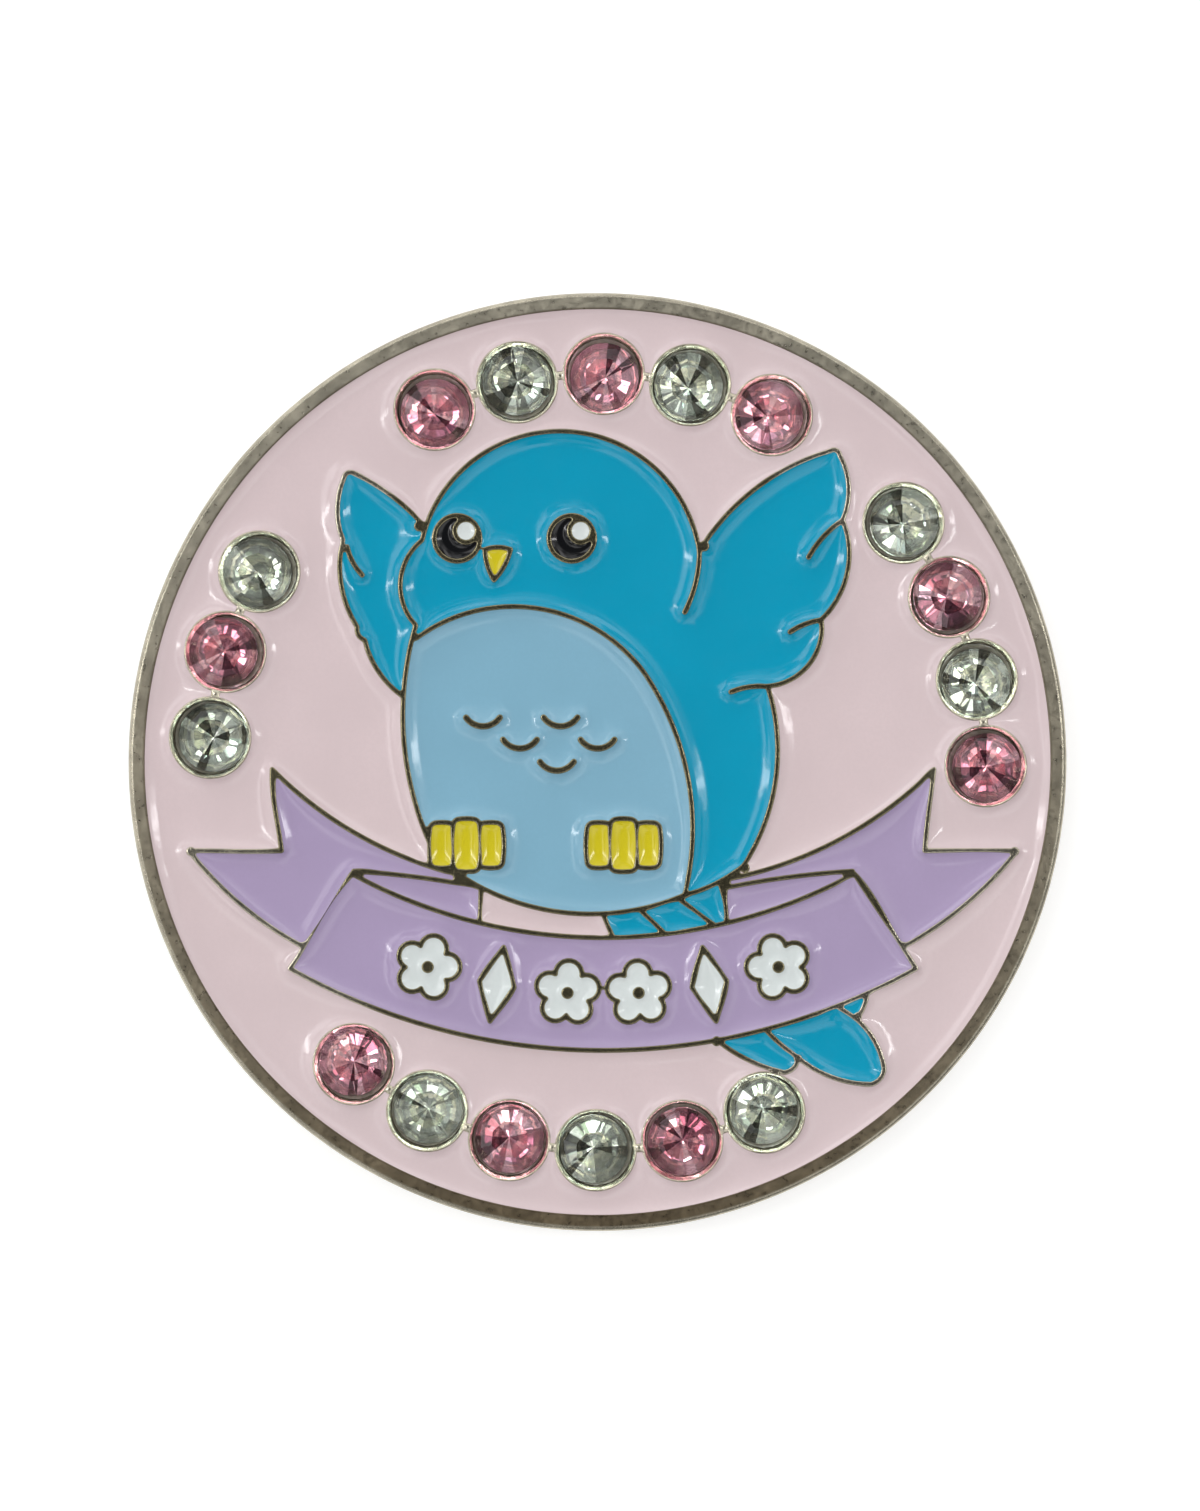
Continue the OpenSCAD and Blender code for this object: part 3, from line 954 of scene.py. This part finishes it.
def seat(name, rng):
    """Where a stone sits in its cup: near the middle, a little turned and tilted."""
    x, y = stone_centre(name)
    shift = SEAT_SHIFT * math.sqrt(rng.random())
    way = rng.uniform(0, math.tau)
    lean_x, lean_y = (math.radians(rng.uniform(-SEAT_LEAN, SEAT_LEAN)) for _ in range(2))
    tilt = Euler((lean_x, lean_y, rng.uniform(0, math.tau)))
    spot = Vector((x + shift * math.cos(way), y + shift * math.sin(way), STONE_HIGH[2] - SEAT_DROP))
    return Matrix.Translation(spot) @ tilt.to_matrix().to_4x4()


def make_stones():
    """Each stone with its foil and its cement. All the foils are one piece, and so is the cement."""
    rng = random.Random(SEED)
    foils = Solid()
    cement = Solid()
    for name in STONES:
        place = seat(name, rng)
        back = cut_back(rng)
        solid = Solid()
        chaton(solid, place, back, rng)
        kind = SLOT_OF[name].split("_")[1]
        piece = solid.make("gem_" + name, [MATERIALS["stone_" + kind]] + BACKS[kind])
        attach(piece, "root")
        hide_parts(name)
        add_foil(foils, place, back)
        add_cement(cement, name, place)
    foil_piece = foils.make("foil_backs", [MATERIALS["foil"]])
    cement_piece = cement.make("cup_cement", [MATERIALS["cement"]], smooth_angle=50)
    for piece, node, slot in (
        (foil_piece, "stone_foils", "foil"),
        (cement_piece, "stone_cement", "cement"),
    ):
        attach(piece, "root")
        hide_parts(node)


def add_foil(solid, place, back):
    """A thin shell of foil just behind a stone's back."""
    wedges, heights = back
    share = 0.97
    shells = []
    for drop in (0.008, FOIL_T):
        ring = []
        for k in range(ROUND):
            a, radius = ring_angle(k), STONE_R * share
            z = TIP + share * (heights[k] - TIP) - drop
            ring.append(place @ Vector((radius * math.cos(a), radius * math.sin(a), z)))
        tip = place @ Vector((0, 0, TIP - drop))
        shells.append((solid.add(ring), solid.add([tip])[0]))
    for ring, tip in shells:
        for start, width in wedges:
            solid.face([tip] + [ring[(start + i) % ROUND] for i in range(width + 1)])
    solid.strip(shells[0][0], shells[1][0])


def add_cement(solid, name, place):
    """The cement in one cup, hollowed by the foil and with an uneven upper edge round the stone."""
    x, y = stone_centre(name)
    spot, axis = place.to_translation(), place.to_3x3() @ Vector((0, 0, 1))
    slope = (-TIP - CROWN_H - GIRDLE_H) * 0.87 / STONE_R
    rows = [
        (0.1, CUP_FLOOR_Z + 0.005),
        (CUP_BORE_R - 0.17, CUP_FLOOR_Z + 0.005),
        (CUP_BORE_R - 0.065, CUP_FLOOR_Z + 0.11),
        (CUP_BORE_R - 0.06, CEMENT_TOP_Z),
    ]
    rings = []
    for i, (radius, z) in enumerate(rows):
        ring = []
        for k in range(ROUND):
            px, py = x + radius * math.cos(ring_angle(k)), y + radius * math.sin(ring_angle(k))
            rise = 0.02 * wobble(px, py, 0.25, 9.5) if i == 3 else 0
            ring.append((px, py, z + rise))
        rings.append(solid.add(ring))
    for radius in (STONE_R - 0.05, 0.14):
        ring = []
        for k in range(ROUND):
            dx, dy = radius * math.cos(ring_angle(k)), radius * math.sin(ring_angle(k))
            lean = (axis.x * dx + axis.y * dy) / axis.z
            z = spot.z + TIP + slope * radius - FOIL_T - 0.015 - lean
            ring.append((spot.x + dx, spot.y + dy, z))
        rings.append(solid.add(ring))
    for upper, lower in zip(rings, rings[1:] + rings[:1]):
        solid.strip(upper, lower)


# ---- Back ----

DISC_COUNT = 360


def make_steel_disc():
    """The steel disc, blanked from sheet, with a slight roll at its edge."""
    solid = Solid()
    spokes = spokes_of(DISC_COUNT)
    low, high = STEEL_LOW[2], STEEL_HIGH[2]
    roll = 0.05
    rows = [(STEEL_R * share, low) for share in (0.25, 0.5, 0.75)]
    rows += [(STEEL_R - roll, low), (STEEL_R - roll * 0.3, low + roll * 0.3)]
    rows += [(STEEL_R, low + roll), (STEEL_R, high)]
    upper = None
    for radius, z in rows:
        lower = solid.add(np.column_stack([spokes * radius, np.full(DISC_COUNT, z)]))
        if upper is None:
            solid.face(lower)
        else:
            solid.strip(upper, lower)
        upper = lower
    solid.face(upper)
    piece = solid.make("steel_back_disc", [MATERIALS["steel"]], smooth_angle=40)
    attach(piece, "root")
    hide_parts("steel_disc")


def make_adhesive():
    """The film behind the steel disc, with an uneven edge that squeezed out a little."""
    solid = Solid()
    rings = []
    for z in (STEEL_HIGH[2], GLUE_TOP_Z):
        ring = []
        for x, y in spokes_of(DISC_COUNT):
            radius = STEEL_R - 0.02 + 0.02 * wobble(STEEL_R * x, STEEL_R * y, 0.8, z)
            ring.append((radius * x, radius * y, z))
        rings.append(solid.add(ring))
    solid.face(rings[0])
    solid.face(rings[1])
    solid.strip(rings[0], rings[1])
    piece = solid.make("adhesive_film", [MATERIALS["adhesive"]], smooth_angle=40)
    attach(piece, "root")
    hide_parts("disc_adhesive")


# ---- Studio ----


def make_floor():
    """A plain white floor under the coin."""
    mesh = bpy.data.meshes.new("floor")
    half = 600 * MM
    corners = [(-half, -half, 0), (half, -half, 0), (half, half, 0), (-half, half, 0)]
    mesh.from_pydata(corners, [], [(0, 1, 2, 3)])
    floor = bpy.data.objects.new("floor", mesh)
    bpy.context.scene.collection.objects.link(floor)
    m = Nodes("floor")
    m.shade(Base_Color=(0.84, 0.84, 0.84, 1), Roughness=0.7)
    m.shade(Emission_Color=(1, 1, 1, 1), Emission_Strength=0.4)
    mesh.materials.append(m.material)
    floor.location = (0, 0, -0.02 * MM)


def make_light(name, azimuth, lean, distance, size, power, in_gloss=True):
    """A softbox seen from the coin at an azimuth, this many degrees from overhead, in metres."""
    data = bpy.data.lights.new(name, "AREA")
    data.shape = "RECTANGLE"
    data.size, data.size_y = size
    data.energy = power
    light = bpy.data.objects.new(name, data)
    bpy.context.scene.collection.objects.link(light)
    a, b = math.radians(azimuth), math.radians(lean)
    way = Vector((math.sin(b) * math.cos(a), math.sin(b) * math.sin(a), math.cos(b)))
    light.location = way * distance
    light.rotation_euler = way.to_track_quat("Z", "Y").to_euler()
    light.visible_glossy = in_gloss


def make_world():
    """A dark lens overhead, and round it a ring of pale and dark panels for the metal to show.

    All of it is brighter towards the upper left. What comes back out of a stone meets panels of
    more contrast and some colour, for the flashes of cut glass.
    """
    world = bpy.data.worlds.new("world")
    bpy.context.scene.world = world
    world.use_nodes = True
    tree = world.node_tree
    tree.nodes.clear()
    new, link = tree.nodes.new, tree.links.new
    output, background = new("ShaderNodeOutputWorld"), new("ShaderNodeBackground")
    coords, split = new("ShaderNodeTexCoord"), new("ShaderNodeSeparateXYZ")
    cells, path = new("ShaderNodeTexVoronoi"), new("ShaderNodeLightPath")
    base, ring, panels, fire = (new("ShaderNodeValToRGB") for _ in range(4))
    around, seen, hued = (new("ShaderNodeMix") for _ in range(3))
    toward, level = new("ShaderNodeVectorMath"), new("ShaderNodeMath")
    toward.operation, level.operation = "DOT_PRODUCT", "ADD"
    toward.inputs[1].default_value = (-0.5, 0.45, 0)
    level.inputs[1].default_value = 1.0
    around.data_type = seen.data_type = hued.data_type = "RGBA"
    hued.blend_type = "MULTIPLY"
    hued.inputs[0].default_value = 0.3
    cells.inputs["Scale"].default_value = 6.0
    set_ramp(base, [(0.0, 0.8), (0.45, 0.65), (0.9, 0.25), (0.97, 0.07)])
    set_ramp(ring, [(0.42, 0.0), (0.48, 1.0), (0.93, 1.0), (0.96, 0.0)])
    set_ramp(panels, [(0.3, 0.1), (0.4, 0.6), (0.62, 0.8), (0.68, 1.7)])
    set_ramp(fire, [(0.3, 0.04), (0.42, 0.6), (0.6, 1.2), (0.65, 10.0)])
    link(coords.outputs["Generated"], split.inputs[0])
    link(coords.outputs["Generated"], cells.inputs["Vector"])
    link(split.outputs["Z"], base.inputs[0])
    link(split.outputs["Z"], ring.inputs[0])
    link(cells.outputs["Color"], panels.inputs[0])
    link(cells.outputs["Color"], fire.inputs[0])
    link(ring.outputs[0], around.inputs[0])
    link(base.outputs[0], around.inputs[6])
    link(panels.outputs[0], around.inputs[7])
    link(path.outputs["Is Transmission Ray"], seen.inputs[0])
    link(around.outputs[2], seen.inputs[6])
    link(fire.outputs[0], hued.inputs[6])
    link(cells.outputs["Color"], hued.inputs[7])
    link(hued.outputs[2], seen.inputs[7])
    link(seen.outputs[2], background.inputs[0])
    link(coords.outputs["Generated"], toward.inputs[0])
    link(toward.outputs["Value"], level.inputs[0])
    link(level.outputs[0], background.inputs["Strength"])
    link(background.outputs[0], output.inputs["Surface"])


def set_ramp(ramp, stops):
    """Gives a colour ramp grey stops (position, value)."""
    stages = ramp.color_ramp.elements
    while len(stages) < len(stops):
        stages.new(0.5)
    for stage, (position, value) in zip(stages, stops):
        stage.position = position
        stage.color = (value, value, value, 1)


make_camera()
make_coin()
for fill in FILLS:
    make_fill(fill)
make_stones()
make_steel_disc()
make_adhesive()
make_floor()
make_light("softbox_left", 172, 33, 0.3, (0.013, 0.14), 0.065)
make_light("softbox_right", 8, 33, 0.3, (0.013, 0.14), 0.065)
make_light("fill", 90, 3, 0.5, (0.4, 0.4), 0.62, in_gloss=False)
make_world()
bpy.context.scene.view_settings.view_transform = "Standard"
